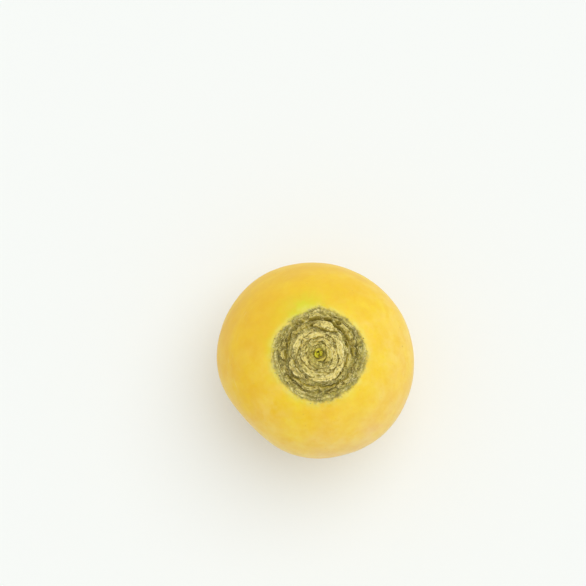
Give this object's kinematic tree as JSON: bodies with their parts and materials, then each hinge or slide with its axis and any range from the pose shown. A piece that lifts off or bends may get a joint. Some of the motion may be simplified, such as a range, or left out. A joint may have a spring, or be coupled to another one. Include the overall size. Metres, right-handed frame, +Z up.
{
  "type": "turnip",
  "caption": "Yellow globe turnip with leaves and tail trimmed off, standing on the flat cut of its tail, with dry leaf bases in a spiral round a small bud on its crown.",
  "frame": {"origin": "middle of the small flat cut that the turnip stands on, where its tail was trimmed off", "axes": "+Z up from that cut to the crown, -Y the side that the crown leans towards, +X to the right of it"},
  "size_m": [0.0807, 0.0814, 0.0688],
  "materials": {
    "root_skin": "satin",
    "dry_leaf": "matte",
    "green_bud": "matte"
  },
  "bodies": {
    "root": {"root": "root_skin", "leaf_base_01": "dry_leaf", "leaf_base_02": "dry_leaf", "leaf_base_03": "dry_leaf", "leaf_base_04": "dry_leaf", "leaf_base_05": "dry_leaf", "leaf_base_06": "dry_leaf", "leaf_base_07": "dry_leaf", "leaf_base_08": "dry_leaf", "leaf_base_09": "dry_leaf", "leaf_base_10": "dry_leaf", "leaf_base_11": "dry_leaf", "leaf_base_12": "dry_leaf", "leaf_base_13": "dry_leaf", "leaf_base_14": "dry_leaf", "leaf_base_15": "dry_leaf", "leaf_base_16": "dry_leaf", "leaf_base_17": "dry_leaf", "leaf_base_18": "dry_leaf", "leaf_base_19": "dry_leaf", "leaf_base_20": "dry_leaf", "leaf_base_21": "dry_leaf", "growing_bud": "green_bud"}
  },
  "joints": []
}
